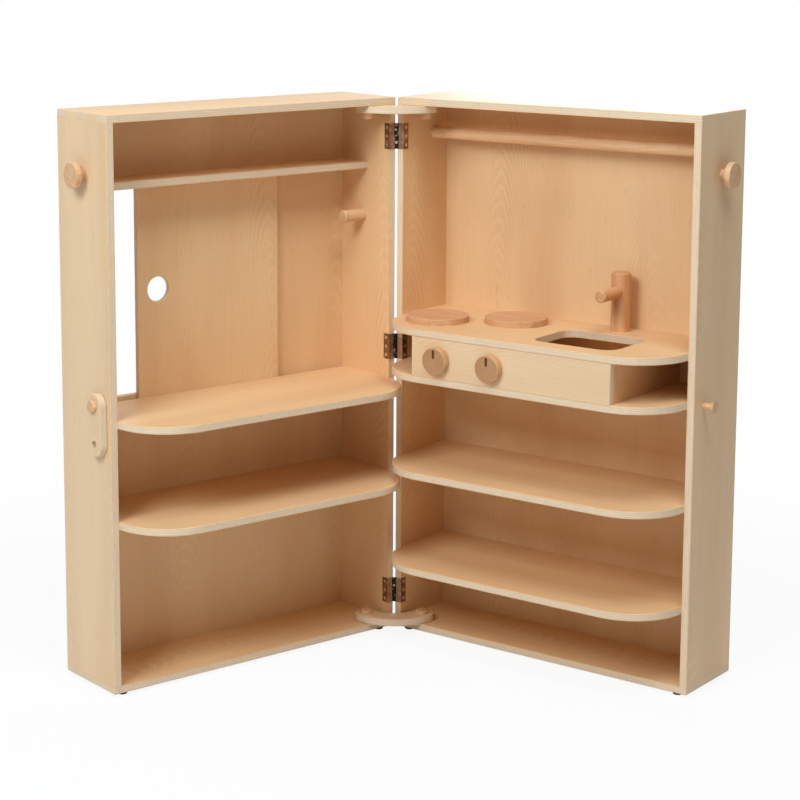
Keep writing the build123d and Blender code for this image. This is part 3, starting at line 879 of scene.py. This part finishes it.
@dataclass(frozen=True)
class Shell(SubAssembly):
    """Bottom, top, sides and back of a case, its outer knob and its glides.

    Attributes:
        side: Side of the kitchen, as in the names of the pieces.
    """

    side: str

    def dress(self, shop: Workshop) -> None:
        """Finish every piece.

        Args:
            shop: Workshop with the solids.
        """
        for level in ("bottom", "top"):
            shop.plywood(f"{self.side}_{level}_panel", self.axes, Along.HEIGHT, Along.WIDTH)
        shop.plywood(f"{self.side}_hinge_side", self.axes, Along.WIDTH, Along.HEIGHT)
        # Painted light: the outer side takes the paler, lit copy of the veneer.
        shop.plywood(f"{self.side}_outer_side", self.axes, Along.WIDTH, Along.HEIGHT, Tone.CREAM)
        shop.plywood(f"{self.side}_back_panel", self.axes, Along.DEPTH, Along.HEIGHT)
        shop.beech(f"{self.side}_outer_knob", self.axes, Along.WIDTH)
        shop.dress(f"{self.side}_feet", DarkNylon(f"dark_nylon_{self.side}").material())


@dataclass(frozen=True)
class Shelves(SubAssembly):
    """Level plates of a case.

    Attributes:
        names: Names of the plates.
    """

    names: tuple[str, ...]

    def dress(self, shop: Workshop) -> None:
        """Finish every plate.

        Args:
            shop: Workshop with the solids.
        """
        for name in self.names:
            shop.plywood(name, self.axes, Along.HEIGHT, Along.WIDTH)


@dataclass(frozen=True)
class Hob(SubAssembly):
    """Two round hob plates on the worktop.

    Attributes:
        discs: Names of the plates.
    """

    discs: tuple[str, ...] = ("hob_disc_front", "hob_disc_back")

    def dress(self, shop: Workshop) -> None:
        """Finish both plates.

        Args:
            shop: Workshop with the solids.
        """
        for name in self.discs:
            shop.beech(name, self.axes, Along.WIDTH, Timber.DISC)


@dataclass(frozen=True)
class Dowels(SubAssembly):
    """Tap, hanging rod and peg.

    Attributes:
        pieces: Name, direction of the fibres and timber of each.
    """

    pieces: tuple[tuple[str, Along, Timber], ...]

    def dress(self, shop: Workshop) -> None:
        """Finish every dowel.

        Args:
            shop: Workshop with the solids.
        """
        for name, fibres, timber in self.pieces:
            shop.beech(name, self.axes, fibres, timber)


@dataclass(frozen=True)
class ControlBox(SubAssembly):
    """Board with two control knobs below the worktop, and the divider beside it.

    Attributes:
        pointers: Slot coloured dark in each knob, by the knob's place.
        face_grain_and_shade: How far the faces of the knobs are darkened, from 0 to 1: partly darker end
            grain, partly painted shade on faces turned from the light.
    """

    pointers: tuple[tuple[str, Pointer], ...] = (
        ("left_control", Pointer((0.1478, 0.496))),
        ("right_control", Pointer((0.2475, 0.496))),
    )
    face_grain_and_shade: float = 0.62

    def dress(self, shop: Workshop) -> None:
        """Finish board, divider and knobs.

        Args:
            shop: Workshop with the solids.
        """
        shop.plywood("control_board", self.axes, Along.DEPTH, Along.WIDTH, Tone.CREAM)
        shop.plywood("cubby_divider", self.axes, Along.WIDTH, Along.DEPTH)
        for place, pointer in self.pointers:
            # The knob faces get strong darkening: partly end grain, partly painted shade.
            shop.beech(f"{place}_knob", self.axes, Along.DEPTH, Timber.CONTROL, pointer=pointer,
                       dark_ends=self.face_grain_and_shade)
            shop.beech(f"{place}_spindle", self.axes, Along.DEPTH)
            shop.beech(f"{place}_collar", self.axes, Along.DEPTH)


@dataclass(frozen=True)
class Slider(SubAssembly):
    """Sliding panel in front of the window.

    Attributes:
        name: Name of the panel.
    """

    name: str = "sliding_panel"

    def dress(self, shop: Workshop) -> None:
        """Finish the panel.

        Args:
            shop: Workshop with the solids.
        """
        shop.plywood(self.name, self.axes, Along.DEPTH, Along.HEIGHT)


@dataclass(frozen=True)
class Latch(SubAssembly):
    """Latch plate on its pivot peg, and the peg that locks it.

    Attributes:
        other: Case that the locking peg belongs to.
    """

    other: CaseAxes

    def dress(self, shop: Workshop) -> None:
        """Finish plate and pegs.

        Args:
            shop: Workshop with the solids.
        """
        shop.plywood("latch_plate", self.axes, Along.WIDTH, Along.HEIGHT, Tone.CREAM)
        shop.beech("latch_pivot_peg", self.axes, Along.WIDTH)
        shop.beech("locking_peg", self.other, Along.WIDTH)


@dataclass(frozen=True)
class Stay(SubAssembly):
    """Crescent plate between the cases, with its two pegs.

    Attributes:
        name: Name of the plate.
    """

    name: str

    def dress(self, shop: Workshop) -> None:
        """Finish plate and pegs.

        Args:
            shop: Workshop with the solids.
        """
        shop.plywood(self.name, self.axes, Along.HEIGHT, Along.DEPTH, Tone.CREAM)
        shop.beech(f"{self.name}_pegs", self.axes, Along.HEIGHT)


@dataclass(frozen=True)
class Hinges(SubAssembly):
    """Hinge leaves and screws of a case, and the pins of the case that keeps them.

    Attributes:
        side: Side of the kitchen, as in the names of the pieces.
        pins: Name of the pins, or nothing.
    """

    side: str
    pins: str | None = None

    def dress(self, shop: Workshop) -> None:
        """Finish every metal piece.

        Args:
            shop: Workshop with the solids.
        """
        screws = RubbedGlintBrass(f"rubbed_glint_brass_{self.side}").material()
        shop.dress(f"{self.side}_hinge_leaves", AgedBrass(f"aged_brass_{self.side}", self.axes).material())
        shop.dress(f"{self.side}_hinge_screws", screws)
        if self.pins is not None:
            shop.dress(self.pins, screws)


@dataclass
class Studio:
    """White room with soft lamps and the camera.

    Attributes:
        eye: Place of the camera, in metres.
        sight: Level direction in which it looks.
        tilt: Angle by which it looks down, in degrees.
        lens: Focal length, in millimetres.
        sensor: Width of the camera's frame, in millimetres.
        shift: Shift of the frame to the side and up, as shares of its width.
        far: How far the camera sees, in metres.
        aim: Middle of the kitchen, at which the lamps point, in metres.
        floor_size: Width of the floor, in metres.
        floor_paint: Colour of the floor.
        ambient: Level of the light from all round.
        fill: Colour of that light.
        daylight: Colour of the lamps.
        glow_near: Level of the floor under the kitchen, as the camera sees it.
        glow_from: Distance from the middle at which the floor starts to rise to white, in metres.
        glow_to: Distance at which it is white, in metres.
        lamps: Name, place, width and power of each lamp.
    """

    eye: Point = (1.8909, -2.6368, 1.1843)
    sight: tuple[float, float] = (-0.6112, 0.79148)
    tilt: float = 9.0
    lens: float = 96.47
    sensor: float = 36.0
    shift: tuple[float, float] = (0.0977, -0.1752)
    far: float = 100.0
    aim: Point = (0.0, 0.0, 0.45)
    floor_size: float = 30.0
    floor_paint: Colour = (0.93, 0.93, 0.92)
    ambient: float = 0.23
    fill: Colour = (1.0, 0.95, 0.90)
    daylight: Colour = (0.90, 1.0, 1.125)
    glow_near: float = 0.90
    glow_from: float = 0.7
    glow_to: float = 1.7
    lamps: list[tuple[str, Point, float, float]] = field(default_factory=lambda: [
        ("front_lamp", (0.0, -2.364, 2.297), 1.2, 54.0),
        ("side_lamp", (1.139, -0.658, 3.146), 1.2, 37.0),
        ("back_lamp", (-0.9, 2.6, 1.7), 1.4, 26.0),
    ])

    def build(self) -> None:
        """Set up the room, the lamps and the camera."""
        self.build_floor()
        self.build_world()
        for name, place, size, power in self.lamps:
            self.build_lamp(name, place, size, power)
        self.build_camera()
        bpy.context.scene.view_settings.view_transform = "Standard"

    def build_floor(self) -> None:
        """Lay the pale floor, which looks white to the camera but for the shadow on it."""
        shape = bmesh.new()
        bmesh.ops.create_grid(shape, x_segments=1, y_segments=1, size=self.floor_size / 2)
        mesh = bpy.data.meshes.new("floor")
        shape.to_mesh(mesh)
        shape.free()
        floor = bpy.data.objects.new("floor", mesh)
        bpy.context.scene.collection.objects.link(floor)
        bench = Bench("floor_white")
        paint = bench.add("BsdfDiffuse", {"Color": (*self.floor_paint, 1.0)})
        glow = bench.add("Emission", {"Color": WHITE, "Strength": 1.0})
        path = bench.add("LightPath")
        room = bench.add("TexCoord").outputs["Object"]
        away = bench.add("VectorMath", {0: room}, operation="LENGTH").outputs["Value"]
        rise = bench.math("MULTIPLY_ADD", bench.ramp(away, self.glow_from, self.glow_to),
                          1.0 - self.glow_near, self.glow_near)
        share = bench.math("MULTIPLY", path.outputs["Is Camera Ray"], rise)
        mixed = bench.add("MixShader", {0: share, 1: paint.outputs[0], 2: glow.outputs[0]})
        bench.add("OutputMaterial", {"Surface": mixed.outputs[0]})
        mesh.materials.append(bench.material)

    def build_world(self) -> None:
        """Fill the room with even light, white to the camera and to gloss."""
        world = bpy.data.worlds.new("white_room")
        world.use_nodes = True
        tree = world.node_tree
        tree.nodes.clear()
        path = tree.nodes.new("ShaderNodeLightPath")
        either = tree.nodes.new("ShaderNodeMath")
        either.operation = "MAXIMUM"
        tree.links.new(path.outputs["Is Camera Ray"], either.inputs[0])
        tree.links.new(path.outputs["Is Glossy Ray"], either.inputs[1])
        tint = tree.nodes.new("ShaderNodeMix")
        tint.data_type = "RGBA"
        tint.inputs[6].default_value = (*self.fill, 1.0)
        tint.inputs[7].default_value = WHITE
        tree.links.new(either.outputs[0], tint.inputs[0])
        level = tree.nodes.new("ShaderNodeMapRange")
        level.inputs["To Min"].default_value = self.ambient
        level.inputs["To Max"].default_value = 1.0
        tree.links.new(either.outputs[0], level.inputs["Value"])
        back = tree.nodes.new("ShaderNodeBackground")
        tree.links.new(tint.outputs[2], back.inputs["Color"])
        tree.links.new(level.outputs[0], back.inputs["Strength"])
        out = tree.nodes.new("ShaderNodeOutputWorld")
        tree.links.new(back.outputs[0], out.inputs["Surface"])
        bpy.context.scene.world = world

    def build_lamp(self, name: str, place: Point, size: float, power: float) -> None:
        """Hang a soft square lamp, aimed at the middle of the kitchen.

        Args:
            name: Name of the lamp.
            place: Where it hangs.
            size: Side of its face, in metres.
            power: Its power, in watts.
        """
        light = bpy.data.lights.new(name, "AREA")
        light.shape = "SQUARE"
        light.size = size
        light.energy = power
        light.color = self.daylight
        lamp = bpy.data.objects.new(name, light)
        bpy.context.scene.collection.objects.link(lamp)
        lamp.location = place
        ray = Vector(self.aim) - Vector(place)
        lamp.rotation_euler = ray.to_track_quat("-Z", "Y").to_euler()

    def build_camera(self) -> None:
        """Set the camera, which looks down partly by its tilt and partly by its lowered frame."""
        data = bpy.data.cameras.new("camera")
        data.lens = self.lens
        data.sensor_width = self.sensor
        data.sensor_fit = "HORIZONTAL"
        data.shift_x, data.shift_y = self.shift
        data.clip_end = self.far
        camera = bpy.data.objects.new("camera", data)
        bpy.context.scene.collection.objects.link(camera)
        camera.location = self.eye
        turn = atan2(self.sight[1], self.sight[0]) - pi / 2
        camera.rotation_euler = (pi / 2 - radians(self.tilt), 0.0, turn)
        bpy.context.scene.camera = camera


@dataclass
class Kitchen:
    """The whole kitchen.

    Attributes:
        parts: Its sub-assemblies.
    """

    parts: list[SubAssembly] = field(default_factory=lambda: [
        Shell(RIGHT, "right"),
        Shell(LEFT, "left"),
        Shelves(RIGHT, ("worktop", "control_shelf", "right_middle_shelf", "right_lower_shelf")),
        Shelves(LEFT, ("upper_shelf", "window_shelf", "left_lower_shelf")),
        Hob(RIGHT),
        ControlBox(RIGHT),
        Dowels(RIGHT, (
            ("tap_post", Along.HEIGHT, Timber.POST),
            ("tap_spout", Along.DEPTH, Timber.POST),
            ("hanging_rod", Along.WIDTH, Timber.DOWEL),
        )),
        Dowels(LEFT, (("inner_peg", Along.WIDTH, Timber.TURNED),)),
        Slider(LEFT),
        Latch(LEFT, RIGHT),
        Stay(STAYS, "bottom_stay"),
        Stay(STAYS, "top_stay"),
        Hinges(RIGHT, "right", "hinge_pins"),
        Hinges(LEFT, "left"),
    ])

    def dress(self, shop: Workshop) -> None:
        """Finish every piece of the kitchen.

        Args:
            shop: Workshop with the solids.
        """
        for part in self.parts:
            part.dress(shop)
        LOG.info("%d solids dressed", shop.count)


def main() -> None:
    """Load the frame, dress the kitchen and set up the studio."""
    logging.basicConfig(level=logging.INFO, format="%(name)s %(message)s")
    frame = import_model()
    Kitchen().dress(Workshop(frame["nodes"]))
    Studio().build()


if __name__ == "__main__":
    main()
